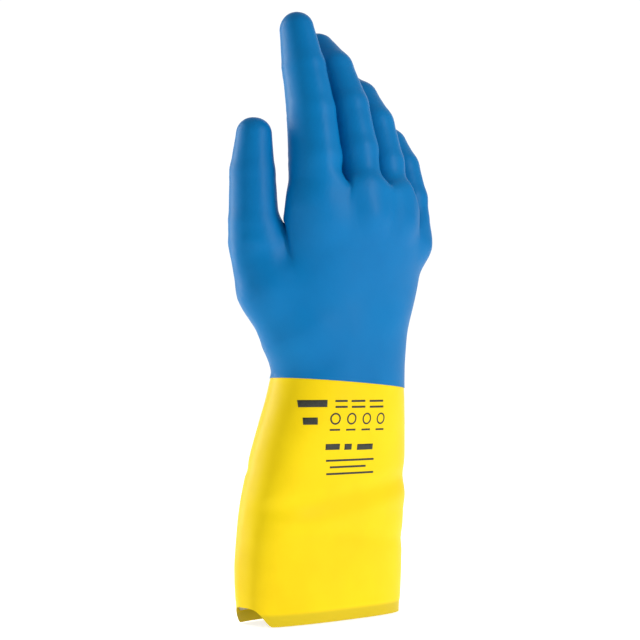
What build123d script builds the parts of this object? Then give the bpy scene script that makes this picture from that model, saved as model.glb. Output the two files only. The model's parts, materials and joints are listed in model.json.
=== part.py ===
"""Right-hand dipped rubber glove, standing on its cuff with the fingers up.

Millimetres. +Z runs up the glove, -Y is the back of the hand, +Y is the palm side and -X is the
thumb side. The origin is the middle of the cuff's opening, in the plane that the glove stands on.

The glove is a laminate: a flock lining inside, a natural rubber body along its whole length, and a
second rubber coat dipped over the hand up to the wrist. Each layer of each stiff stretch is a solid
of its own. Between two stretches lies a flex zone, the part of the skin that bends.
"""
import os
from math import cos, pi, radians, sin, tan

from build123d import *

# Layers of the wall, counted from the outside in
COAT = 0.30
LATEX = 0.50
FLOCK = 0.20
BOND = 0.02
PRINT = 0.10

LATEX_OUT = COAT + BOND
LATEX_IN = LATEX_OUT + LATEX
FLOCK_OUT = LATEX_IN + BOND
FLOCK_IN = FLOCK_OUT + FLOCK

# Clearance between the solids of two bodies that a joint parts
GAP = 0.3

# Levels up the arm
COAT_EDGE_Z = 122.0
LINING_START_Z = 5.0
WRIST_HINGE_Z = 128.0
HEEL_HINGE_Z = 150.0
WRIST_ZONE = 10.5
HEEL_ZONE = 7.5
PALM_TOP_Z = 226.0
LITTLE_WEB_Z = 210.0
LITTLE_WEB_X = 31.0
ARM_TOP_Z = 229.0
LEVELS = 240.0

# Sections of the arm and palm: height, middle in X, middle in Y, half width, half depth, squareness
ARM_SECTIONS = [
    (0, 0, 0, 52, 17, 3.0),
    (30, 0, 0, 52.5, 20, 2.9),
    (60, 1, -1, 50.5, 23, 2.7),
    (90, 3, -4, 46, 25, 2.5),
    (115, 5, -7, 41, 26, 2.3),
    (130, 6, -8, 39, 26, 2.2),
    (150, 6, -11.5, 42.5, 24.5, 2.2),
    (175, 8.5, -17, 45, 20.5, 2.2),
    (205, 10, -22.5, 46, 16.5, 2.3),
    (229, 10, -25, 44.5, 14.5, 2.4),
]
SECTION_POINTS = 16
SECTION_SPACING = 28.0

# The scoop in the rim on the thumb side
SCOOP_RADIUS = 38.0
SCOOP_X = -60.0
SCOOP_Z = -30.0

# A finger: root hinge, stump below it, then its three stretches. A stretch is (length, angle from
# upright towards the palm). half_widths are at the root, middle and tip hinges and at the tip's dome.
FINGERS = {
    "index": {
        "root": (-23.5, -22.0, 236.0),
        "stump": (30, 3),
        "stretches": [(24, 7), (24, 13), (21, 15)],
        "half_widths": [11.3, 10.9, 10.1, 8.2],
        "bend": [65, 85, 50],
    },
    "middle": {
        "root": (-0.3, -26.5, 241.0),
        "stump": (34, 12),
        "stretches": [(24, 16), (23, 27), (17, 46)],
        "half_widths": [11.2, 10.9, 10.1, 8.2],
        "bend": [65, 85, 50],
    },
    "ring": {
        "root": (22.3, -23.0, 236.0),
        "stump": (30, 15),
        "stretches": [(22, 19), (18, 36), (14, 54)],
        "half_widths": [10.9, 10.5, 9.7, 7.9],
        "bend": [65, 85, 50],
    },
    "little": {
        "root": (43.8, -20.0, 219.0),
        "stump": (22, 12),
        "stretches": [(18, 18), (15, 36), (12, 54)],
        "half_widths": [9.9, 9.5, 8.8, 7.2],
        "bend": [65, 80, 50],
    },
    "thumb": {
        "root": (-47.0, -2.0, 203.0),
        "stump": (20, 4),
        "stretches": [(26, 2), (19, -3)],
        "half_widths": [12.6, 11.4, 9.0],
        "bend": [52, 62],
    },
}
STRETCH_NAMES = ["proximal", "middle", "distal"]

# Where the rounded end of a finger has sections, as degrees up from its last full section
DOME_TURNS = [20, 38, 54, 68, 80]

FINGER_DEPTH = 1.16
THUMB_DEPTH = 1.0

# A hinge lies this share of the half depth from a finger's middle line, towards the palm side
HINGE_SHIFT = 0.4
ZONE_MARGIN = 0.6

# The ball of the thumb: middle points and radii, from the heel of the palm to the thumb's stump
THUMB_BALL = [((-26, -9, 163), 16.5), ((-36, -6, 172), 16.5), ((-45, -2.4, 184), 13.6)]

# Print on the back of the cuff: bars as (X, Z, width, height), and rings as (X, Z, radius)
PRINT_BARS = [
    (-26.8, 112.0, 12.5, 3.6), (-28.5, 103.2, 6.6, 3.6),
    (-12.9, 113.2, 7.0, 1.0), (-2.4, 113.1, 9.0, 1.0), (10.2, 113.0, 10.0, 1.0),
    (-12.7, 110.2, 7.0, 1.0), (-2.0, 110.1, 9.0, 1.0), (10.7, 110.0, 10.0, 1.0),
    (-15.8, 98.6, 6.0, 0.9), (-6.0, 98.5, 6.0, 0.9), (4.3, 98.4, 6.0, 0.9), (14.5, 98.3, 6.0, 0.9),
    (-16.2, 90.0, 8.5, 3.0), (-6.5, 89.8, 4.7, 3.0), (5.1, 89.5, 11.0, 3.0),
    (-3.6, 83.0, 32.0, 1.0), (-4.9, 79.6, 24.0, 1.0), (-2.8, 76.2, 32.0, 1.0),
]
PRINT_RINGS = [(-15.8, 104.2, 3.0), (-6.0, 104.1, 3.0), (4.3, 104.0, 3.0), (14.5, 103.9, 3.0)]
RING_LINE = 0.8


def superellipse(z, x, y, half_width, half_depth, squareness, inset):
    """A closed section of the arm at height z, drawn in by inset."""
    points = []
    for step in range(SECTION_POINTS):
        angle = 2 * pi * step / SECTION_POINTS
        across = abs(cos(angle)) ** (2 / squareness) * (1 if cos(angle) >= 0 else -1)
        along = abs(sin(angle)) ** (2 / squareness) * (1 if sin(angle) >= 0 else -1)
        points.append((x + (half_width - inset) * across, y + (half_depth - inset) * along, z))
    return Wire(Spline(*points, periodic=True))


def arm_section(height):
    """The sizes of the arm at a height, on smooth curves through the listed sections."""
    last = len(ARM_SECTIONS) - 2
    row = max(i for i in range(last + 1) if ARM_SECTIONS[i][0] <= height)
    low, high = ARM_SECTIONS[row], ARM_SECTIONS[row + 1]
    before, after = ARM_SECTIONS[max(row - 1, 0)], ARM_SECTIONS[min(row + 2, last + 1)]
    gap = high[0] - low[0]
    t = (height - low[0]) / gap
    values = []
    for column in range(1, 6):
        low_slope = (high[column] - before[column]) / (high[0] - before[0]) * gap
        high_slope = (after[column] - low[column]) / (after[0] - low[0]) * gap
        values.append(
            low[column] * (2 * t**3 - 3 * t**2 + 1) + low_slope * (t**3 - 2 * t**2 + t)
            + high[column] * (3 * t**2 - 2 * t**3) + high_slope * (t**3 - t**2)
        )
    return values


def arm(low, high, inset):
    """The cuff, wrist or palm between two heights, as a closed solid."""
    count = max(2, round((high - low) / SECTION_SPACING))
    heights = [low + (high - low) * step / count for step in range(count + 1)]
    return Solid.make_loft([superellipse(height, *arm_section(height), inset) for height in heights])


def slab(low, high):
    """Everything between two heights."""
    return Pos(0, 0, (low + high) / 2) * Box(LEVELS, LEVELS, high - low)


def scoop():
    return Pos(SCOOP_X, 0, SCOOP_Z) * Rot(90, 0, 0) * Cylinder(SCOOP_RADIUS, LEVELS)


def direction(angle):
    """Up the glove, tipped towards the palm side."""
    return Vector(0, sin(radians(angle)), cos(radians(angle)))


def depth_ratio(finger):
    return THUMB_DEPTH if finger == "thumb" else FINGER_DEPTH


def joint_points(finger):
    """Middle-line points: each hinge of the finger, then the middle of the tip's dome."""
    data = FINGERS[finger]
    points = [Vector(*data["root"])]
    for length, angle in data["stretches"]:
        points.append(points[-1] + direction(angle) * length)
    return points


def angles(finger):
    data = FINGERS[finger]
    return [data["stump"][1]] + [angle for _, angle in data["stretches"]]


def zone_half(finger, index):
    """Half the length of the flex zone at a hinge, so that the stiff stretches never meet."""
    data = FINGERS[finger]
    inner = (1 - HINGE_SHIFT) * data["half_widths"][index] * depth_ratio(finger)
    return inner * tan(radians(data["bend"][index] / 2)) + ZONE_MARGIN


def half_width_at(finger, index, distance):
    """Half width at a distance along stretch number index from its lower hinge."""
    data = FINGERS[finger]
    start = data["half_widths"][index]
    end = data["half_widths"][index + 1]
    return start + (end - start) * distance / data["stretches"][index][0]


def cross_section(finger, point, angle, half_width, inset):
    plane = Plane(origin=point, x_dir=(1, 0, 0), z_dir=direction(angle))
    ellipse = Ellipse(half_width - inset, half_width * depth_ratio(finger) - inset)
    return (plane * ellipse).face().outer_wire()


def tube(finger, ends, inset):
    """A closed solid through sections given as (point, angle, half width)."""
    wires = [cross_section(finger, point, angle, width, inset) for point, angle, width in ends]
    return Solid.make_loft(wires, ruled=len(wires) == 2)


def dome_wires(finger, point, angle, half_width, inset):
    """Sections of the rounded end of a finger, and its top point."""
    width = half_width - inset
    depth = half_width * depth_ratio(finger) - inset
    shapes = []
    for turn in DOME_TURNS:
        origin = point + direction(angle) * depth * sin(radians(turn))
        shrink = cos(radians(turn))
        plane = Plane(origin=origin, x_dir=(1, 0, 0), z_dir=direction(angle))
        shapes.append((plane * Ellipse(width * shrink, depth * shrink)).face().outer_wire())
    shapes.append(Vertex(*(point + direction(angle) * depth)))
    return shapes


def stretch_ends(finger, index):
    """The two end sections of a stiff stretch."""
    data = FINGERS[finger]
    points = joint_points(finger)
    length, angle = data["stretches"][index]
    low = zone_half(finger, index)
    last = index == len(data["stretches"]) - 1
    high = length if last else length - zone_half(finger, index + 1) - GAP
    along = direction(angle)
    return [
        (points[index] + along * low, angle, half_width_at(finger, index, low)),
        (points[index] + along * high, angle, half_width_at(finger, index, high)),
    ]


def stretch_solid(finger, index, inset):
    """A stiff stretch as one closed solid, domed above if it is the last."""
    ends = stretch_ends(finger, index)
    if index < len(FINGERS[finger]["stretches"]) - 1:
        return tube(finger, ends, inset)
    wires = [cross_section(finger, point, angle, width, inset) for point, angle, width in ends]
    point, angle, width = ends[1]
    return Solid.make_loft(wires + dome_wires(finger, point, angle, width, inset), ruled=True)


def stretch_layer(finger, index, outer, inner):
    """One layer of a stiff stretch, open below."""
    return stretch_solid(finger, index, outer) - stretch_solid(finger, index, inner)


def zone_ends(finger, index):
    """End sections and middle section of the flex zone at a hinge."""
    data = FINGERS[finger]
    point = joint_points(finger)[index]
    half = zone_half(finger, index)
    below = angles(finger)[index]
    above = angles(finger)[index + 1]
    width = data["half_widths"][index]
    low_width = width if index == 0 else half_width_at(finger, index - 1, data["stretches"][index - 1][0] - half)
    high_width = half_width_at(finger, index, half - GAP)
    return [
        (point - direction(below) * half, below, low_width),
        (point, (below + above) / 2, width),
        (point + direction(above) * (half - GAP), above, high_width),
    ]


def zone(finger, index):
    """The bending skin at a hinge, with all layers in one."""
    ends = zone_ends(finger, index)
    return tube(finger, ends, 0) - tube(finger, ends, FLOCK_IN)


def stump(finger, inset, longer=0.0):
    """The part of a finger that stays with the palm."""
    data = FINGERS[finger]
    length, angle = data["stump"]
    root = Vector(*data["root"])
    width = data["half_widths"][0]
    top = root - direction(angle) * (zone_half(finger, 0) + GAP - longer)
    bottom = root - direction(angle) * length
    return tube(finger, [(bottom, angle, width + 0.4), (top, angle, width)], inset)


def thumb_ball(inset):
    """The ball of the thumb: spheres joined by cones."""
    shapes = []
    for point, radius in THUMB_BALL:
        shapes.append(Pos(*point) * Sphere(radius - inset))
    for (low, low_radius), (high, high_radius) in zip(THUMB_BALL[:-1], THUMB_BALL[1:]):
        axis = Vector(*high) - Vector(*low)
        height = axis.length
        plane = Plane(origin=low, z_dir=axis)
        cone = Solid.make_loft([
            (plane * Circle(low_radius - inset)).face().outer_wire(),
            (plane.offset(height) * Circle(high_radius - inset)).face().outer_wire(),
        ], ruled=True)
        shapes.append(cone)
    joined = shapes[0]
    for shape in shapes[1:]:
        joined = joined + shape
    return joined


def palm(inset, longer=0.0):
    """The palm with its five stumps, closed at the webs."""
    bottom = HEEL_HINGE_Z + HEEL_ZONE + GAP
    shape = arm(HEEL_HINGE_Z, ARM_TOP_Z, inset) & slab(bottom - longer, PALM_TOP_Z - inset)
    notch = Pos(LITTLE_WEB_X + LEVELS / 2 - inset, 0, LITTLE_WEB_Z + LEVELS / 2 - inset)
    shape = shape - notch * Box(LEVELS, LEVELS, LEVELS)
    shape = shape + (thumb_ball(inset) & slab(bottom - longer, LEVELS))
    for finger in FINGERS:
        shape = shape + stump(finger, inset, longer)
    return shape


def palm_layer(outer, inner):
    return palm(outer) - palm(inner, longer=1.0)


def arm_layer(low, high, outer, inner):
    """One layer of the arm between two heights."""
    return arm(low, high, outer) - arm(low, high, inner)


def print_marks():
    """Raised ink on the back of the cuff: bars and small rings."""
    ink = arm_layer(0, WRIST_HINGE_Z - WRIST_ZONE, LATEX_OUT - PRINT, LATEX_OUT)
    tools = []
    for x, z, width, height in PRINT_BARS:
        tools.append(Pos(x, -LEVELS / 4, z) * Box(width, LEVELS / 2, height))
    for x, z, radius in PRINT_RINGS:
        outer = Cylinder(radius, LEVELS / 2)
        inner = Cylinder(radius - RING_LINE, LEVELS / 2)
        tools.append(Pos(x, -LEVELS / 4, z) * Rot(90, 0, 0) * (outer - inner))
    return Compound(children=[mark for tool in tools for mark in (ink & tool).solids()])


def save(name, shape):
    solids = shape.solids()
    result = solids[0] if len(solids) == 1 else Compound(children=list(solids))
    export_step(result, f"parts/{name}.step")


def main():
    os.makedirs("parts", exist_ok=True)
    wrist_low = WRIST_HINGE_Z - WRIST_ZONE
    wrist_high = WRIST_HINGE_Z + WRIST_ZONE
    heel_low = HEEL_HINGE_Z - HEEL_ZONE
    heel_high = HEEL_HINGE_Z + HEEL_ZONE

    save("cuff_latex", arm_layer(0, wrist_low, LATEX_OUT, LATEX_IN) - scoop())
    lining = arm_layer(0, wrist_low, FLOCK_OUT, FLOCK_IN) & slab(LINING_START_Z, wrist_low)
    save("cuff_lining", lining - scoop())
    save("cuff_print", print_marks())
    save("wrist_zone_latex", arm_layer(wrist_low, wrist_high - GAP, LATEX_OUT, FLOCK_IN))
    coat = arm_layer(wrist_low, wrist_high - GAP, 0, COAT) & slab(COAT_EDGE_Z, wrist_high - GAP)
    save("wrist_zone_coat", coat)
    save("wrist_latex", arm_layer(wrist_high, heel_low - GAP, LATEX_OUT, LATEX_IN))
    save("wrist_coat", arm_layer(wrist_high, heel_low - GAP, 0, COAT))
    save("wrist_lining", arm_layer(wrist_high, heel_low - GAP, FLOCK_OUT, FLOCK_IN))
    save("heel_zone", arm_layer(heel_low, heel_high, 0, FLOCK_IN))

    save("palm_coat", palm_layer(0, COAT))
    save("palm_latex", palm_layer(LATEX_OUT, LATEX_IN))
    save("palm_lining", palm_layer(FLOCK_OUT, FLOCK_IN))

    for finger, data in FINGERS.items():
        count = len(data["stretches"])
        names = STRETCH_NAMES if count == 3 else [STRETCH_NAMES[0], STRETCH_NAMES[2]]
        for index, name in enumerate(names):
            save(f"{finger}_{name}_zone", zone(finger, index))
            save(f"{finger}_{name}_coat", stretch_layer(finger, index, 0, COAT))
            save(f"{finger}_{name}_liner", stretch_layer(finger, index, LATEX_OUT, FLOCK_IN))


if __name__ == "__main__":
    main()
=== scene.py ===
"""Right-hand two-tone dipped glove, standing on its cuff in the frame of the CAD."""
import json
from collections import namedtuple
from math import atan2, cos, degrees, pi, radians, sin

import bmesh
import bpy
import numpy as np
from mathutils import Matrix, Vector
from mathutils.bvhtree import BVHTree


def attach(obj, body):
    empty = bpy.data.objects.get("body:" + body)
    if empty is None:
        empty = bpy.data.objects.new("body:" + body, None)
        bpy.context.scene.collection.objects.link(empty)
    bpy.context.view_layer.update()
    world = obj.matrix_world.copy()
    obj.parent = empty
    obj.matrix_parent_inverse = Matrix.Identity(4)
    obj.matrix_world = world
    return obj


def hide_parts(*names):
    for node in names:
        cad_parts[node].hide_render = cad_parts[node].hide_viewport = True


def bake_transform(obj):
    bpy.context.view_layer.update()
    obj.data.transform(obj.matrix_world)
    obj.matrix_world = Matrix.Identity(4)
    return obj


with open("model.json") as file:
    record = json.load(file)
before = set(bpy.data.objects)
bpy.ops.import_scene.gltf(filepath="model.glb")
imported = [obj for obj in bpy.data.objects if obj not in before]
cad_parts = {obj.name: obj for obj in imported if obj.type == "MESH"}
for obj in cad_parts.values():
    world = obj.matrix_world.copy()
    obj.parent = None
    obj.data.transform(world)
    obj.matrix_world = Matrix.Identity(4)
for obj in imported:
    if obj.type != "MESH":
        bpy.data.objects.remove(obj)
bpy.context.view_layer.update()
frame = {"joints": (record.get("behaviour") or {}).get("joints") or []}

# +Z is up, the back of the hand faces -Y and the thumb is on the -X side. The scene is in metres.
# The sizes below are in millimetres, and MM turns them into metres where a piece is made.
MM = 0.001
JOINTS = {joint["name"]: joint for joint in frame["joints"]}

# ---------------------------------------------------------------- driving sizes, in millimetres

# The grid that the skin is drawn from: its spacing, and its box around the opened fingers
VOXEL = 1.3
GRID_LOW = (-104.0, -66.0, -7.0)
GRID_HIGH = (118.0, 60.0, 326.0)

# The layers of the wall, as depths below the outer surface. In the hand, where neither is seen from
# outside, the body and its lining are one liner.
COAT_DEPTHS = (0.0, 0.34)
BODY_DEPTHS = (0.36, 0.84)
LINING_DEPTHS = (0.86, 1.10)
LINER_DEPTHS = (0.36, 1.10)

# Sections of the arm and palm: height, middle X, middle Y, half width, half depth, squareness.
# They melt into each other over about ARM_BLUR of height.
ARM = np.array([
    (-12, 0, 0, 51.8, 16.4, 3.2),
    (0, 0, 0, 52.2, 17.2, 3.1),
    (30, 0, 0, 52.7, 20.2, 3.0),
    (60, 1, -1, 50.7, 23.2, 2.8),
    (90, 3, -4, 46, 25, 2.6),
    (115, 5, -7, 41, 26, 2.3),
    (130, 6, -8, 39, 26, 2.2),
    (150, 5, -11.5, 39.5, 24.5, 2.2),
    (175, 7, -17, 43.0, 20.0, 2.2),
    (205, 8.8, -22.5, 47.5, 15.5, 2.3),
    (226, 8.7, -25.5, 47.5, 11.5, 2.3),
    (260, 8.7, -30, 46, 10, 2.3),
])
ARM_BLUR = 7.0

# The palm ends at the webs, and lower down beside the little finger
PALM_TOP = 225.0
LITTLE_DROP = 18.0
LITTLE_DROP_X = (27.0, 42.0)

# The palm arches towards its back between these heights, most at ARCH_X
ARCH = 6.0
ARCH_X = 8.0
ARCH_REACH = 38.0
ARCH_FLOOR = -0.5
ARCH_Z = (160, 210)

# Fingers. Angles lean from upright towards the palm side. A stump reaches down into the palm, a tip
# runs from the last hinge to the middle of the rounded end, and depths are half depths at the hinges
# and at that middle. spread opens the fingers, in degrees, while the skin is made.
FINGERS = {
    "index": dict(stump=(30, 3), tip=(21, 15), depths=(14.2, 12.9, 11.6, 9.2), spread=-17),
    "middle": dict(stump=(32, 12), tip=(16, 42), depths=(13.0, 12.6, 11.6, 9.4), spread=-5.5),
    "ring": dict(stump=(30, 15), tip=(14, 54), depths=(12.6, 12.2, 11.2, 9.1), spread=5.5),
    "little": dict(stump=(24, 12), tip=(13.5, 50), depths=(11.5, 11.2, 10.6, 9.0), spread=17),
    "thumb": dict(stump=(8, 3), tip=(19, -3), depths=(12.6, 11.3, 9.0), spread=-15),
}

# The thumb has two hinges and two moving bodies, and each finger has three
HINGE_NAMES = {"thumb": ("root", "tip")}
STRETCHES = {"thumb": ("proximal", "distal")}

# Widths are shares of the depth, and a finger's stump is thinner than its first hinge. The hinges lie
# towards the palm side of the middle line by HINGE_SHIFT of the half depth, and since the line's
# angles depend on its points, both are worked out over a few rounds.
FINGER_WIDTH = 0.865
THUMB_WIDTH = 0.98
FINGER_SQUARENESS = 2.25
HINGE_SHIFT = 0.4
STUMP_THINNING = 2.5
LINE_ROUNDS = 5

# A finger opens about a pivot this far below its first hinge, and closes over this height above it
PIVOT_DEPTH = 27.0
SPREAD_RISE = 12.0

# How gradually a point passes from one finger to the next, and from the palm to the thumb
FINGER_SHARE = 2.0
THUMB_SHARE = 1.5

# The ball of the thumb and the bulge of the heel: middle and radius of each sphere
THUMB_BALL = [((-26, -9, 150), 18.5), ((-38, -5, 171), 15.8), ((-45.5, -3, 191), 12.8)]
HEEL_BULGE = ((29, -8, 168), 14.5)

# How far each pair of shapes melts together
TOP_BLEND = 6.0
HEEL_BLEND = 14.0
BALL_BLEND = 9.0
JOINT_BLEND = 1.2
WEB_BLEND = 5.0
ROOT_BLEND = 9.0
THUMB_BLEND = 11.0

# The blue coat's edge is a plane that leans a little across X. The lining stops above the rim.
COAT_EDGE_POINT = np.array([5.0, -8.0, 122.0])
COAT_EDGE_NORMAL = np.array([0.075, 0.0, 1.0])
LINING_START = 6.0

# The rim's corner on the thumb side curves up, and the lift fades out by RIM_LIFT_TOP
RIM_LIFT = 9.5
RIM_LIFT_X = -43.0
RIM_LIFT_RUN = 9.5
RIM_LIFT_TOP = 30.0

# Where the skin is divided between two hinges. Fingers are divided only above FINGERS_START, and only
# within CUT_REACH of the plane of the cut.
WRIST_CUT = 140.5
STUMP_CUT = 6.7
FINGERS_START = 180
CUT_REACH = 4

# Slow swells of the surface: random seed, length and height. The first is on the cuff alone.
CUFF_SWELL = (3, 70, 0.45)
SWELLS = [(5, 34, 0.10), (8, 13, 0.05)]
CUFF_FADE = (95, 135)

# Folds around the back of the cuff: height, slope across X, width, and how far they stand out
CUFF_FOLDS = [(66, 0.16, 5.0, -0.8), (55, 0.16, 5.5, 0.6), (44, -0.10, 4.6, -0.7)]

# Creases on the palm side: height, slope across X and depth
PALM_CREASES = [(131, 0.10, 0.7), (142, -0.05, 0.8), (152, 0.08, 0.5), (84, 0.14, 0.5)]
PALM_CREASE_WIDTH = 2.6

# Folds fade in towards the back and creases towards the palm side: Y where they start, and the run
FOLD_FADE = (6, 20)
CREASE_FADE = (-2, 12)

# The hem has no lining, so its outside steps in by HEM_STEP over HEM_RUN
HEM_STEP = 0.32
HEM_RUN = 2.4

# Each finger hinge has a crease on its palm side and a low knuckle on its back: height and width.
# Both start JOINT_SIDE away from the middle line, and stay within JOINT_REACH of the hinge across X.
CREASE = (0.22, 1.7)
KNUCKLE = (0.05, 4.5)
JOINT_SIDE = 2
JOINT_SIDE_RUN = 8
JOINT_REACH = 15
JOINT_FADE = (17, 23)

# The camera, with its places in metres
CAMERA_PLACE = (-0.6357, -0.7060, 0.130)
CAMERA_TARGET = (0.0, 0.0, 0.155)
CAMERA_LENS = 102.1
CAMERA_SENSOR = 36.0

# The stage and its lights, in metres and watts
FLOOR_SIZE = 8.0
FLOOR_DROP = 0.0005
FLOOR_GLOW = 0.70
BACKDROP_SIZE = 5.0
BACKDROP_PLACE = (2.2, 2.4, 1.0)
BACKDROP_FACING = (-0.67, -0.74, 0)
BACKDROP_GLOW = 1.05
WORLD_GLOW = 0.38
LIGHT_TARGET = (0, 0, 0.17)
KEY_LIGHT = dict(location=(0.50, -1.25, 0.60), size=(0.35, 0.9), power=8.8)
RIM_LIGHT = dict(location=(-0.55, 1.25, 0.40), size=(0.22, 1.3), power=16.0)


# ---------------------------------------------------------------- the skeleton, from the frame

def direction(angle):
    """The way up a run that leans this many degrees towards the palm side."""
    return np.array([0.0, sin(radians(angle)), cos(radians(angle))])


def palmward(angle):
    """Across such a run, towards the palm side."""
    return np.array([0.0, cos(radians(angle)), -sin(radians(angle))])


def hinge(name):
    """A hinge's place, in millimetres."""
    return np.array(JOINTS[name]["pos_m"]) / MM


def hinge_names(finger):
    return HINGE_NAMES.get(finger, ("root", "middle", "tip"))


def stretch_names(finger):
    return STRETCHES.get(finger, ("proximal", "middle", "distal"))


class Skeleton:
    """A finger's middle line: stump, hinges and tip, with the angle of each run."""

    def __init__(self, finger):
        data = FINGERS[finger]
        self.hinges = [hinge(f"{finger}_{name}_bend") for name in hinge_names(finger)]
        self.width = THUMB_WIDTH if finger == "thumb" else FINGER_WIDTH
        stump_length, stump_angle = data["stump"]
        tip_length, tip_angle = data["tip"]
        points = [point.copy() for point in self.hinges]
        for _ in range(LINE_ROUNDS):
            angles = [stump_angle]
            for low, high in zip(points[:-1], points[1:]):
                angles.append(degrees(atan2(high[1] - low[1], high[2] - low[2])))
            angles.append(tip_angle)
            for i, point in enumerate(self.hinges):
                middle = (angles[i] + angles[i + 1]) / 2
                points[i] = point - HINGE_SHIFT * data["depths"][i] * palmward(middle)
        base = points[0] - direction(stump_angle) * stump_length
        tip = points[-1] + direction(tip_angle) * tip_length
        self.angles = angles
        self.line = [base] + points + [tip]
        thinning = 0.0 if finger == "thumb" else STUMP_THINNING
        self.radii = [data["depths"][0] - thinning] + list(data["depths"])
        self.pivot = points[0] - direction(stump_angle) * PIVOT_DEPTH
        self.spread = radians(data["spread"])

    def turned(self, points, sign):
        """Opens the finger (sign 1) or closes it (sign -1), about its pivot and the Y axis."""
        angle = self.spread * sign
        x = points[:, 0] - self.pivot[0]
        z = points[:, 2] - self.pivot[2]
        out = points.copy()
        out[:, 0] = self.pivot[0] + x * cos(angle) + z * sin(angle)
        out[:, 2] = self.pivot[2] - x * sin(angle) + z * cos(angle)
        return out


SKELETONS = {finger: Skeleton(finger) for finger in FINGERS}
LONG_FINGERS = [finger for finger in FINGERS if finger != "thumb"]


# ---------------------------------------------------------------- distances to the glove's surface

def smoothstep(t):
    t = np.clip(t, 0.0, 1.0)
    return t * t * (3 - 2 * t)


def smooth_min(a, b, reach):
    """The nearer of two distances, melted together where they differ by less than reach."""
    share = np.maximum(reach - np.abs(a - b), 0.0) / reach
    return np.minimum(a, b) - share * share * reach / 4


def smooth_max(a, b, reach):
    return -smooth_min(-a, -b, reach)


# These keep roots and divisions away from zero
TINY = 1e-12
SMALL = 1e-9

ARM_HEIGHTS = np.arange(-40.0, 300.0, 1.0)


def arm_track(column):
    """One column of the arm's sections, drawn smoothly over height."""
    half = int(ARM_BLUR * 3)
    kernel = np.exp(-0.5 * (np.arange(-half, half + 1) / ARM_BLUR) ** 2)
    values = np.interp(ARM_HEIGHTS, ARM[:, 0], ARM[:, column])
    return np.convolve(np.pad(values, half, mode="edge"), kernel / kernel.sum(), mode="valid")


ARM_TRACKS = [arm_track(column) for column in range(1, 6)]


def arm_distance(points):
    """Distance to the tube of the cuff, wrist and palm, without its top."""
    x, y, z = points.T
    middle_x, middle_y, width, depth, power = [np.interp(z, ARM_HEIGHTS, track) for track in ARM_TRACKS]
    crown = np.maximum(1 - ((x - ARCH_X) / ARCH_REACH) ** 2, ARCH_FLOOR)
    arch_start, arch_end = ARCH_Z
    arch = ARCH * crown * smoothstep((z - arch_start) / (arch_end - arch_start))
    across = np.abs(x - middle_x) / width
    along = np.abs(y - middle_y + arch) / depth
    norm = (across ** power + along ** power + TINY) ** (1 / power)
    slope_x = (across / norm) ** (power - 1) / width
    slope_y = (along / norm) ** (power - 1) / depth
    return (norm - 1) / np.sqrt(slope_x ** 2 + slope_y ** 2 + SMALL)


def finger_distance(points, finger):
    """Distance to an open finger: tapering capsules with flattened sides."""
    skeleton = SKELETONS[finger]
    local = skeleton.turned(points, -1)
    power = FINGER_SQUARENESS
    result = None
    runs = zip(skeleton.line[:-1], skeleton.line[1:], skeleton.radii[:-1], skeleton.radii[1:])
    for low, high, low_radius, high_radius in runs:
        axis = high - low
        share = np.clip((local - low) @ axis / (axis @ axis), 0, 1)
        offset = local - low - share[:, None] * axis
        across = np.abs(offset[:, 0]) / skeleton.width
        along = np.hypot(offset[:, 1], offset[:, 2])
        norm = (across ** power + along ** power + TINY) ** (1 / power)
        distance = norm - (low_radius + (high_radius - low_radius) * share)
        result = distance if result is None else smooth_min(result, distance, JOINT_BLEND)
    return result


def ball_distance(points, centre, radius):
    return np.linalg.norm(points - np.array(centre), axis=1) - radius


def palm_distance(points):
    """Distance to the arm and palm, rounded off at the webs, with the bulge of the heel."""
    x, y, z = points.T
    low, high = LITTLE_DROP_X
    top = PALM_TOP - LITTLE_DROP * smoothstep((x - low) / (high - low))
    result = smooth_max(arm_distance(points), z - top, TOP_BLEND)
    return smooth_min(result, ball_distance(points, *HEEL_BULGE), HEEL_BLEND)


def thumb_distance(points):
    """Distance to the open thumb with its ball, a row of spheres joined by cones."""
    result = finger_distance(points, "thumb")
    for (low, low_radius), (high, high_radius) in zip(THUMB_BALL[:-1], THUMB_BALL[1:]):
        low, high = np.array(low, float), np.array(high, float)
        axis = high - low
        share = np.clip((points - low) @ axis / (axis @ axis), 0, 1)
        offset = points - low - share[:, None] * axis
        ball = np.linalg.norm(offset, axis=1) - (low_radius + (high_radius - low_radius) * share)
        result = smooth_min(result, ball, BALL_BLEND)
    return result


def glove_distance(points):
    """Distance to the whole glove with its fingers opened."""
    result = palm_distance(points)
    fingers = None
    for finger in LONG_FINGERS:
        distance = finger_distance(points, finger)
        fingers = distance if fingers is None else smooth_min(fingers, distance, WEB_BLEND)
    result = smooth_min(result, fingers, ROOT_BLEND)
    return smooth_min(result, thumb_distance(points), THUMB_BLEND)


# ---------------------------------------------------------------- a mesh from the distances

def sample(low, high, step):
    """Distances on a grid, layer by layer."""
    axes = [np.arange(low[i], high[i] + step, step) for i in range(3)]
    field = np.empty([len(axis) for axis in axes])
    grid_y, grid_z = np.meshgrid(axes[1], axes[2], indexing="ij")
    for i, x in enumerate(axes[0]):
        points = np.stack([np.full(grid_y.size, x), grid_y.ravel(), grid_z.ravel()], axis=1)
        field[i] = glove_distance(points).reshape(grid_y.shape)
    return field


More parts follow.
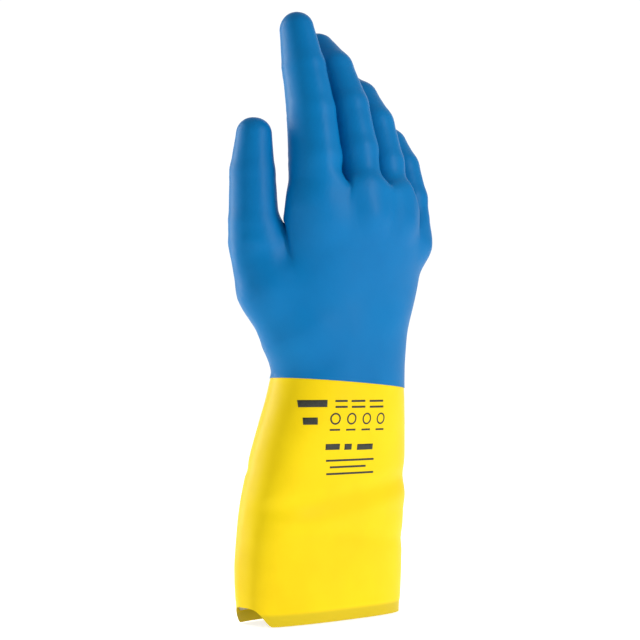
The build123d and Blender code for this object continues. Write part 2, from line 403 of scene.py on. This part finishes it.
def surface_net(field, low, step):
    """Points and quads of the surface where the field is zero."""
    inside = field < 0
    counts = np.zeros([n - 1 for n in field.shape], np.uint8)
    corners = [(i, j, k) for i in (0, 1) for j in (0, 1) for k in (0, 1)]
    for i, j, k in corners:
        counts += inside[i:i + counts.shape[0], j:j + counts.shape[1], k:k + counts.shape[2]]
    cells = np.argwhere((counts > 0) & (counts < 8))
    total = np.zeros((len(cells), 3))
    crossings = np.zeros(len(cells))
    for corner in corners:
        for axis in range(3):
            if corner[axis]:
                continue
            other = list(corner)
            other[axis] = 1
            start = cells + np.array(corner)
            end = cells + np.array(other)
            a = field[start[:, 0], start[:, 1], start[:, 2]]
            b = field[end[:, 0], end[:, 1], end[:, 2]]
            crossing = (a < 0) != (b < 0)
            share = np.where(crossing, a / np.where(crossing, a - b, 1), 0)
            place = np.array(corner) + share[:, None] * (np.array(other) - np.array(corner))
            total += np.where(crossing[:, None], place, 0)
            crossings += crossing
    points = np.array(low) + (cells + total / crossings[:, None]) * step
    number = np.full(counts.shape, -1)
    number[cells[:, 0], cells[:, 1], cells[:, 2]] = np.arange(len(cells))
    quads = []
    for axis in range(3):
        u, v = (axis + 1) % 3, (axis + 2) % 3
        first = np.take(inside, range(field.shape[axis] - 1), axis)
        second = np.take(inside, range(1, field.shape[axis]), axis)
        edges = np.argwhere(first != second)
        edges = edges[(edges[:, u] > 0) & (edges[:, v] > 0)]
        edges = edges[(edges[:, u] < counts.shape[u]) & (edges[:, v] < counts.shape[v])]
        loop = []
        for back_u, back_v in ((1, 1), (0, 1), (0, 0), (1, 0)):
            cell = edges.copy()
            cell[:, u] -= back_u
            cell[:, v] -= back_v
            loop.append(number[cell[:, 0], cell[:, 1], cell[:, 2]])
        quad = np.stack(loop, axis=1)
        outward = inside[edges[:, 0], edges[:, 1], edges[:, 2]]
        quad[~outward] = quad[~outward][:, ::-1]
        quads.append(quad)
    return points, np.concatenate(quads)


def settle(points):
    """Moves the points onto the exact surface, along slopes measured over a small step."""
    step = 0.05
    rounds = 4
    least_slope = 0.2
    for _ in range(rounds):
        value = glove_distance(points)
        slopes = []
        for axis in range(3):
            nudge = np.zeros(3)
            nudge[axis] = step
            slopes.append((glove_distance(points + nudge) - value) / step)
        slope = np.stack(slopes, axis=1)
        move = value / np.maximum((slope ** 2).sum(1), least_slope)
        points = points - np.clip(move, -1, 1)[:, None] * slope
    return points


def close_fingers(points):
    """Brings the opened fingers together, and gives the number in FINGERS of each point's finger."""
    distances = np.stack([finger_distance(points, finger) for finger in LONG_FINGERS], axis=1)
    share = np.exp(-(distances - distances.min(1, keepdims=True)) / FINGER_SHARE)
    share /= share.sum(1, keepdims=True)
    result = points.copy()
    for i, finger in enumerate(LONG_FINGERS):
        skeleton = SKELETONS[finger]
        closed = skeleton.turned(points, -1)
        rise = smoothstep((points[:, 2] - skeleton.pivot[2]) / SPREAD_RISE)
        result += (share[:, i] * rise)[:, None] * (closed - points)
    skeleton = SKELETONS["thumb"]
    from_palm = np.minimum(palm_distance(points), distances.min(1)) - thumb_distance(points)
    rise = smoothstep((points[:, 2] - skeleton.pivot[2]) / SPREAD_RISE)
    limit = 30
    weight = rise / (1 + np.exp(-np.clip(from_palm, -limit, limit) / THUMB_SHARE))
    result += weight[:, None] * (skeleton.turned(points, -1) - result)
    nearest = distances.argmin(1)
    nearest[weight > 0.5] = len(LONG_FINGERS)
    return result, nearest


def point_normals(points, quads):
    """The outward normal at each point, from the quads around it."""
    a, b, c, d = [points[quads[:, i]] for i in range(4)]
    face = np.cross(c - a, d - b)
    normals = np.zeros_like(points)
    for i in range(4):
        np.add.at(normals, quads[:, i], face)
    return normals / np.maximum(np.linalg.norm(normals, axis=1, keepdims=True), TINY)


# ---------------------------------------------------------------- swells, folds and creases

def wave(points, seed, length):
    """A slow, uneven swell between about -1 and 1, from five plane waves of around this length."""
    rng = np.random.default_rng(seed)
    total = np.zeros(len(points))
    for _ in range(5):
        turn = rng.normal(size=3)
        turn *= 2 * pi / length * rng.uniform(0.6, 1.5) / np.linalg.norm(turn)
        total += np.sin(points @ turn + rng.uniform(0, 2 * pi))
    return total / 3.0


def groove(value, width):
    """1 where the value is zero, falling off to both sides."""
    return np.exp(-(value / width) ** 2)


def relief(points):
    """How far the surface stands out from the plain shape, in millimetres."""
    x, y, z = points.T
    fade_start, fade_end = CUFF_FADE
    on_cuff = 1 - smoothstep((z - fade_start) / (fade_end - fade_start))
    seed, length, height = CUFF_SWELL
    out = height * wave(points, seed, length) * on_cuff
    for seed, length, height in SWELLS:
        out += height * wave(points, seed, length)

    back = smoothstep((FOLD_FADE[0] - y) / FOLD_FADE[1])
    for middle, slope, width, height in CUFF_FOLDS:
        out += height * back * on_cuff * groove(z - middle - slope * x, width)
    palm_side = smoothstep((y - CREASE_FADE[0]) / CREASE_FADE[1])
    for middle, slope, depth in PALM_CREASES:
        out -= depth * palm_side * groove(z - middle - slope * x, PALM_CREASE_WIDTH)
    out -= HEM_STEP * (1 - smoothstep((z - LINING_START + HEM_RUN / 2) / HEM_RUN))

    crease_depth, crease_width = CREASE
    knuckle_height, knuckle_width = KNUCKLE
    joint_start, joint_end = JOINT_FADE
    for skeleton in SKELETONS.values():
        for angle, joint in zip(skeleton.angles, skeleton.line[1:-1]):
            along = (points - joint) @ direction(angle)
            side = (points - joint) @ palmward(angle)
            away = np.linalg.norm(points - joint, axis=1)
            near = np.abs(x - joint[0]) < JOINT_REACH
            close = near * (1 - smoothstep((away - joint_start) / (joint_end - joint_start)))
            on_palm_side = smoothstep((side - JOINT_SIDE) / JOINT_SIDE_RUN)
            on_back = smoothstep((-side - JOINT_SIDE) / JOINT_SIDE_RUN)
            out -= crease_depth * close * on_palm_side * groove(along, crease_width)
            out += knuckle_height * close * on_back * groove(along, knuckle_width)
    return out


# ---------------------------------------------------------------- one skin, divided into pieces

CUFF, PALM = 0, 1
FIRST_STRETCH = 10
CODES_PER_FINGER = 4

# points, normals, the corners of each face, the region of each face and its centre
Skin = namedtuple("Skin", "points normals faces regions centres")


def stretch_code(finger, index):
    """The region of the skin around one hinge of a finger."""
    return FIRST_STRETCH + CODES_PER_FINGER * list(FINGERS).index(finger) + index


def cut_points(finger):
    """The point and the upward direction of each cut across a finger, from the stump up."""
    skeleton = SKELETONS[finger]
    joints = skeleton.line[1:-1]
    up = direction(skeleton.angles[0])
    cuts = [(joints[0] - up * STUMP_CUT, up)]
    for index in range(1, len(joints)):
        cuts.append(((joints[index - 1] + joints[index]) / 2, direction(skeleton.angles[index])))
    return cuts


def cut(mesh, faces, point, normal):
    """Splits these faces along a plane."""
    edges = dict.fromkeys(edge for face in faces for edge in face.edges)
    verts = dict.fromkeys(vert for face in faces for vert in face.verts)
    geometry = [*verts, *edges, *faces]
    bmesh.ops.bisect_plane(mesh, geom=geometry, dist=0.01, plane_co=Vector(point), plane_no=Vector(normal))


def fill_mesh(mesh, points, quads, normals, nearest):
    """Puts the surface into the mesh, with its normals and each face's finger."""
    normal_layer = mesh.verts.layers.float_vector.new("skin_normal")
    finger_layer = mesh.faces.layers.int.new("finger")
    verts = []
    for point, normal in zip(points, normals):
        vert = mesh.verts.new(point)
        vert[normal_layer] = normal
        verts.append(vert)
    for quad, vote in zip(quads, nearest[quads]):
        face = mesh.faces.new([verts[i] for i in quad])
        face[finger_layer] = int(np.bincount(vote).argmax())
    return normal_layer, finger_layer


def divide(mesh, finger_layer):
    """Cuts off what is below the rim, and splits the skin wherever its pieces will end."""
    up = (0, 0, 1)
    cut(mesh, list(mesh.faces), (0, 0, 0), up)
    below = [face for face in mesh.faces if face.calc_center_median().z < 0]
    bmesh.ops.delete(mesh, geom=below, context="FACES")
    cut(mesh, list(mesh.faces), (0, 0, LINING_START), up)
    cut(mesh, list(mesh.faces), COAT_EDGE_POINT, COAT_EDGE_NORMAL)
    cut(mesh, list(mesh.faces), (0, 0, WRIST_CUT), up)
    for number, finger in enumerate(FINGERS):
        for point, normal in cut_points(finger):
            faces = []
            for face in mesh.faces:
                centre = np.array(face.calc_center_median())
                near = centre[2] > FINGERS_START and abs((centre - point) @ normal) < CUT_REACH
                if face[finger_layer] == number and near:
                    faces.append(face)
            cut(mesh, faces, point, normal)
    bmesh.ops.triangulate(mesh, faces=[face for face in mesh.faces if len(face.verts) > 4])


def region(centre, finger):
    """The region of a face with this centre, on or nearest to this finger."""
    code = CUFF if centre[2] < WRIST_CUT else PALM
    if centre[2] > FINGERS_START:
        for index, (point, normal) in enumerate(cut_points(finger)):
            if (centre - point) @ normal > 0:
                code = stretch_code(finger, index)
    return code


def build_skin():
    """The outer surface in its final shape, divided into regions."""
    low = np.array(GRID_LOW)
    high = np.array(GRID_HIGH)
    field = sample(low, high, VOXEL)
    points, quads = surface_net(field, low, VOXEL)
    points = settle(points)
    points, nearest = close_fingers(points)
    points = points + point_normals(points, quads) * relief(points)[:, None]
    normals = point_normals(points, quads)

    mesh = bmesh.new()
    normal_layer, finger_layer = fill_mesh(mesh, points, quads, normals, nearest)
    divide(mesh, finger_layer)
    mesh.verts.index_update()
    points = np.array([vert.co for vert in mesh.verts], float)
    normals = np.array([vert[normal_layer] for vert in mesh.verts], float)
    normals /= np.maximum(np.linalg.norm(normals, axis=1, keepdims=True), SMALL)
    faces = [[vert.index for vert in face.verts] for face in mesh.faces]
    centres = np.array([face.calc_center_median() for face in mesh.faces])
    names = list(FINGERS)
    fingers = [names[face[finger_layer]] for face in mesh.faces]
    regions = np.array([region(centre, finger) for centre, finger in zip(centres, fingers)])
    mesh.free()

    lift = RIM_LIFT * smoothstep((RIM_LIFT_X - points[:, 0]) / RIM_LIFT_RUN)
    points[:, 2] += lift * (1 - smoothstep(points[:, 2] / RIM_LIFT_TOP))
    return Skin(points, normals, faces, regions, centres)


def new_mesh(name, points, faces, material, normals=None):
    """An object from points in millimetres."""
    mesh = bpy.data.meshes.new(name)
    mesh.from_pydata([tuple(point * MM) for point in points], [], faces)
    mesh.materials.append(material)
    mesh.polygons.foreach_set("use_smooth", [True] * len(mesh.polygons))
    if normals is not None:
        mesh.normals_split_custom_set_from_vertices([tuple(normal) for normal in normals])
    mesh.update()
    obj = bpy.data.objects.new(name, mesh)
    bpy.context.scene.collection.objects.link(obj)
    return obj


def closed_sheet(loops, count):
    """The faces of an outer side, of an inner side count points further on, and of the walls around them."""
    sheet = []
    directed = set()
    for loop in loops:
        sheet.append(loop)
        sheet.append([vertex + count for vertex in reversed(loop)])
        directed.update(zip(loop, loop[1:] + loop[:1]))
    for a, b in directed:
        if (b, a) not in directed:
            sheet.append([b, a, a + count, b + count])
    return sheet


def shell(name, skin, chosen, depths, material):
    """A closed sheet between two depths under the skin, over the chosen faces."""
    picked = [skin.faces[i] for i in np.flatnonzero(chosen)]
    used = sorted({vertex for face in picked for vertex in face})
    place = {vertex: i for i, vertex in enumerate(used)}
    loops = [[place[vertex] for vertex in face] for face in picked]
    outward = skin.normals[used]
    outer = skin.points[used] - outward * depths[0]
    inner = skin.points[used] - outward * depths[1]
    both = np.concatenate([outer, inner])
    facing = np.concatenate([outward, -outward])
    return new_mesh(name, both, closed_sheet(loops, len(used)), material, facing)


# ---------------------------------------------------------------- print on the back of the cuff

# Bars as (X, Z, width, height), rings as (X, Z, radius), in millimetres
PRINT_BARS = [
    (-26.8, 112.0, 12.5, 3.6), (-28.5, 103.2, 6.6, 3.6),
    (-12.9, 113.2, 7.0, 1.0), (-2.4, 113.1, 9.0, 1.0), (10.2, 113.0, 10.0, 1.0),
    (-12.7, 110.2, 7.0, 1.0), (-2.0, 110.1, 9.0, 1.0), (10.7, 110.0, 10.0, 1.0),
    (-15.8, 98.6, 6.0, 0.9), (-6.0, 98.5, 6.0, 0.9), (4.3, 98.4, 6.0, 0.9), (14.5, 98.3, 6.0, 0.9),
    (-16.2, 90.0, 8.5, 3.0), (-6.5, 89.8, 4.7, 3.0), (5.1, 89.5, 11.0, 3.0),
    (-3.6, 83.0, 32.0, 1.0), (-4.9, 79.6, 24.0, 1.0), (-2.8, 76.2, 32.0, 1.0),
]
PRINT_RINGS = [(-15.8, 104.2, 3.0), (-6.0, 104.1, 3.0), (4.3, 104.0, 3.0), (14.5, 103.9, 3.0)]
PRINT_STEP = 0.9
RING_LINE = 0.8
RING_POINTS = 29

# The ink's outer and inner side above the cuff's surface, and where its rays start, behind the back
INK_HEIGHTS = (0.10, -0.30)
INK_START_Y = -120


def print_line(middle, length):
    """Evenly spaced places along a bar's width or height."""
    return np.linspace(middle - length / 2, middle + length / 2, max(2, round(length / PRINT_STEP) + 1))


def print_patches():
    """Grids of (X, Z) points, one for each mark."""
    patches = []
    for x, z, width, height in PRINT_BARS:
        patches.append([[(a, b) for a in print_line(x, width)] for b in print_line(z, height)])
    for x, z, radius in PRINT_RINGS:
        turns = np.linspace(0, 2 * pi, RING_POINTS)
        radii = (radius - RING_LINE, radius)
        patches.append([[(x + r * cos(t), z + r * sin(t)) for t in turns] for r in radii])
    return patches


def print_marks(skin, material):
    """The ink, laid on the cuff's back."""
    cuff_faces = [skin.faces[i] for i in np.flatnonzero(skin.regions == CUFF)]
    tree = BVHTree.FromPolygons([tuple(point) for point in skin.points], cuff_faces)
    ink_outer, ink_inner = [height - BODY_DEPTHS[0] for height in INK_HEIGHTS]
    outer = []
    inner = []
    quads = []
    for patch in print_patches():
        rows, columns = len(patch), len(patch[0])
        start = len(outer)
        for row in patch:
            for x, z in row:
                hit, normal, _, _ = tree.ray_cast(Vector((x, INK_START_Y, z)), Vector((0, 1, 0)))
                if normal.y > 0:
                    normal = -normal
                outer.append(hit + normal * ink_outer)
                inner.append(hit + normal * ink_inner)
        for i in range(rows - 1):
            for j in range(columns - 1):
                a = start + i * columns + j
                quads.append([a, a + 1, a + columns + 1, a + columns])
    sheet = closed_sheet(quads, len(outer))
    marks = new_mesh("cuff_print_marks", np.array(outer + inner), sheet, material)
    weld = bmesh.new()
    weld.from_mesh(marks.data)
    bmesh.ops.remove_doubles(weld, verts=weld.verts, dist=0.01 * MM)
    bmesh.ops.recalc_face_normals(weld, faces=weld.faces)
    weld.to_mesh(marks.data)
    weld.free()
    return marks


# ---------------------------------------------------------------- materials

# Each colour shifts between two shades
BLUE = ((0.0, 0.150, 0.400), (0.0, 0.175, 0.450))
YELLOW = ((0.86, 0.61, 0.002), (0.92, 0.68, 0.004))
CREAM = ((0.66, 0.58, 0.38), (0.86, 0.80, 0.62))
BLACK = ((0.010, 0.012, 0.010), (0.03, 0.035, 0.02))

# The hem's deeper yellow, and the heights in metres between which it turns into the cuff's
HEM_YELLOW = (0.66, 0.50, 0.012)
HEM_EDGE = (0.0048, 0.0072)

RUBBER_ROUGHNESS = 0.42
ROUGHNESS_SHIFT = 0.05
RUBBER_SPECULAR = 0.12


def new_material(name):
    material = bpy.data.materials.new(name)
    material.use_nodes = True
    return material, material.node_tree, material.node_tree.nodes["Principled BSDF"]


def noise(tree, scale, detail=4.0):
    """Noise over the object's own coordinates."""
    place = tree.nodes.new("ShaderNodeTexCoord")
    texture = tree.nodes.new("ShaderNodeTexNoise")
    texture.inputs["Scale"].default_value = scale
    texture.inputs["Detail"].default_value = detail
    tree.links.new(place.outputs["Object"], texture.inputs["Vector"])
    return texture.outputs["Fac"]


def ramp(tree, value, stops):
    """Colours from a value; stops are (place, colour)."""
    node = tree.nodes.new("ShaderNodeValToRGB")
    elements = node.color_ramp.elements
    while len(elements) < len(stops):
        elements.new(0.5)
    for element, (place, colour) in zip(elements, stops):
        element.position = place
        element.color = (*colour, 1.0)
    tree.links.new(value, node.inputs["Fac"])
    return node.outputs["Color"]


def bump(tree, shader, value, strength, distance):
    """Lets a value stand out as fine relief; distance is in metres."""
    node = tree.nodes.new("ShaderNodeBump")
    node.inputs["Strength"].default_value = strength
    node.inputs["Distance"].default_value = distance
    tree.links.new(value, node.inputs["Height"])
    tree.links.new(node.outputs["Normal"], shader.inputs["Normal"])


def rubber(name, colours):
    """Smooth dipped rubber: slight shifts of colour and gloss, and a very fine skin."""
    material, tree, shader = new_material(name)
    colour = ramp(tree, noise(tree, scale=22.0), [(0.35, colours[0]), (0.65, colours[1])])
    tree.links.new(colour, shader.inputs["Base Color"])
    gloss = tree.nodes.new("ShaderNodeMapRange")
    gloss.inputs["To Min"].default_value = RUBBER_ROUGHNESS - ROUGHNESS_SHIFT
    gloss.inputs["To Max"].default_value = RUBBER_ROUGHNESS + ROUGHNESS_SHIFT
    tree.links.new(noise(tree, scale=60.0), gloss.inputs["Value"])
    tree.links.new(gloss.outputs["Result"], shader.inputs["Roughness"])
    bump(tree, shader, noise(tree, scale=900.0, detail=3.0), strength=0.12, distance=0.0002)
    shader.inputs["Specular IOR Level"].default_value = RUBBER_SPECULAR
    return material


def yellow_latex():
    """The body's rubber, deeper in colour along the unlined hem."""
    material = rubber("yellow_latex", YELLOW)
    tree = material.node_tree
    shader = tree.nodes["Principled BSDF"]
    colour = shader.inputs["Base Color"].links[0].from_socket
    place = tree.nodes.new("ShaderNodeTexCoord")
    split = tree.nodes.new("ShaderNodeSeparateXYZ")
    tree.links.new(place.outputs["Object"], split.inputs["Vector"])
    band = tree.nodes.new("ShaderNodeMapRange")
    band.inputs["From Min"].default_value = HEM_EDGE[0]
    band.inputs["From Max"].default_value = HEM_EDGE[1]
    band.interpolation_type = "SMOOTHSTEP"
    tree.links.new(split.outputs["Z"], band.inputs["Value"])
    mix = tree.nodes.new("ShaderNodeMix")
    mix.data_type = "RGBA"
    mix.inputs["A"].default_value = (*HEM_YELLOW, 1.0)
    tree.links.new(band.outputs["Result"], mix.inputs["Factor"])
    tree.links.new(colour, mix.inputs["B"])
    tree.links.new(mix.outputs["Result"], shader.inputs["Base Color"])
    return material


def flock():
    """Short cotton fibres glued to the inside."""
    material, tree, shader = new_material("flock")
    colour = ramp(tree, noise(tree, scale=700.0), [(0.3, CREAM[0]), (0.7, CREAM[1])])
    tree.links.new(colour, shader.inputs["Base Color"])
    shader.inputs["Roughness"].default_value = 1.0
    shader.inputs["Sheen Weight"].default_value = 0.4
    bump(tree, shader, noise(tree, scale=1500.0, detail=6.0), strength=0.8, distance=0.0006)
    return material


def ink():
    material, tree, shader = new_material("print_ink")
    colour = ramp(tree, noise(tree, scale=900.0), [(0.3, BLACK[0]), (0.7, BLACK[1])])
    tree.links.new(colour, shader.inputs["Base Color"])
    shader.inputs["Roughness"].default_value = 0.6
    return material


# ---------------------------------------------------------------- the glove's pieces

def place_piece(nodes):
    """Hides the CAD nodes that the piece stands for."""
    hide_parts(*nodes)


def build_cuff(skin, materials):
    cuff = skin.regions == CUFF
    lined = cuff & (skin.centres[:, 2] > LINING_START)
    coated = cuff & ((skin.centres - COAT_EDGE_POINT) @ COAT_EDGE_NORMAL > 0)
    layers = [
        ("cuff_body", cuff, BODY_DEPTHS, "yellow_latex", ["cuff_latex", "wrist_zone_latex", "wrist_latex"]),
        ("cuff_flock", lined, LINING_DEPTHS, "flock", ["cuff_lining", "wrist_lining"]),
        ("wrist_overcoat", coated, COAT_DEPTHS, "blue_rubber", ["wrist_zone_coat", "wrist_coat"]),
    ]
    for name, chosen, depths, slot_name, nodes in layers:
        obj = shell(name, skin, chosen, depths, materials[slot_name])
        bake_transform(obj)
        place_piece(nodes)
    marks = print_marks(skin, materials["print_ink"])
    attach(marks, "cuff")
    place_piece(["cuff_print"])


def build_palm(skin, materials):
    chosen = skin.regions == PALM
    layers = [
        ("palm_overcoat", COAT_DEPTHS, "blue_rubber", ["palm_coat", "heel_zone"]),
        ("palm_liner", LINER_DEPTHS, "flock", ["palm_latex", "palm_lining"]),
    ]
    for name, depths, slot_name, nodes in layers:
        obj = shell(name, skin, chosen, depths, materials[slot_name])
        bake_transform(obj)
        place_piece(nodes)


def build_stretch(skin, materials, finger, index):
    """The skin around one hinge of a finger, between the bodies on either side."""
    names = stretch_names(finger)
    body = f"{finger}_{names[index]}"
    chosen = skin.regions == stretch_code(finger, index)
    layers = [
        ("skin", COAT_DEPTHS, "blue_rubber", [f"{body}_coat", f"{body}_zone"]),
        ("inside", LINER_DEPTHS, "flock", [f"{body}_liner"]),
    ]
    for suffix, depths, slot_name, nodes in layers:
        obj = shell(f"{body}_{suffix}", skin, chosen, depths, materials[slot_name])
        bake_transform(obj)
        place_piece(nodes)


# ---------------------------------------------------------------- floor, light and camera

def emission(name, colour, strength):
    material = bpy.data.materials.new(name)
    material.use_nodes = True
    tree = material.node_tree
    tree.nodes.clear()
    output = tree.nodes.new("ShaderNodeOutputMaterial")
    light = tree.nodes.new("ShaderNodeEmission")
    light.inputs["Color"].default_value = (*colour, 1.0)
    light.inputs["Strength"].default_value = strength
    tree.links.new(light.outputs["Emission"], output.inputs["Surface"])
    return material


def stage_plane(name, size, location, facing, material):
    """A square sheet whose face looks along facing."""
    mesh = bpy.data.meshes.new(name)
    half = size / 2
    corners = [(-half, -half, 0), (half, -half, 0), (half, half, 0), (-half, half, 0)]
    mesh.from_pydata(corners, [], [(0, 1, 2, 3)])
    mesh.materials.append(material)
    obj = bpy.data.objects.new(name, mesh)
    obj.location = location
    obj.rotation_euler = Vector(facing).to_track_quat("Z", "Y").to_euler()
    bpy.context.scene.collection.objects.link(obj)


def aim(obj, place, target):
    """Puts a light or camera at a place, looking at the target."""
    obj.location = place
    obj.rotation_euler = (Vector(target) - Vector(place)).to_track_quat("-Z", "Y").to_euler()


def area_light(name, location, size, power):
    light = bpy.data.lights.new(name, "AREA")
    light.shape = "RECTANGLE"
    light.size, light.size_y = size
    light.energy = power
    obj = bpy.data.objects.new(name, light)
    aim(obj, location, LIGHT_TARGET)
    bpy.context.scene.collection.objects.link(obj)


def build_stage():
    floor_paint, _, shader = new_material("floor_paint")
    shader.inputs["Base Color"].default_value = (0.90, 0.90, 0.90, 1.0)
    shader.inputs["Roughness"].default_value = 0.9
    shader.inputs["Emission Color"].default_value = (1.0, 1.0, 1.0, 1.0)
    shader.inputs["Emission Strength"].default_value = FLOOR_GLOW
    stage_plane("floor", FLOOR_SIZE, (0, 0, -FLOOR_DROP), (0, 0, 1), floor_paint)
    backdrop_glow = emission("backdrop_glow", (1, 1, 1), BACKDROP_GLOW)
    stage_plane("backdrop", BACKDROP_SIZE, BACKDROP_PLACE, BACKDROP_FACING, backdrop_glow)
    world = bpy.data.worlds.new("studio")
    world.use_nodes = True
    background = world.node_tree.nodes["Background"]
    background.inputs["Color"].default_value = (1, 1, 1, 1)
    background.inputs["Strength"].default_value = WORLD_GLOW
    bpy.context.scene.world = world
    area_light("key", **KEY_LIGHT)
    area_light("rim", **RIM_LIGHT)


def build_camera():
    data = bpy.data.cameras.new("camera")
    data.sensor_width = CAMERA_SENSOR
    data.lens = CAMERA_LENS
    data.dof.use_dof = False
    obj = bpy.data.objects.new("camera", data)
    aim(obj, CAMERA_PLACE, CAMERA_TARGET)
    bpy.context.scene.collection.objects.link(obj)
    bpy.context.scene.camera = obj


def main():
    materials = {
        "blue_rubber": rubber("blue_rubber", BLUE),
        "yellow_latex": yellow_latex(),
        "flock": flock(),
        "print_ink": ink(),
    }
    skin = build_skin()
    build_cuff(skin, materials)
    build_palm(skin, materials)
    for finger in FINGERS:
        for index in range(len(stretch_names(finger))):
            build_stretch(skin, materials, finger, index)
    build_stage()
    build_camera()
    bpy.context.scene.view_settings.view_transform = "Standard"


main()
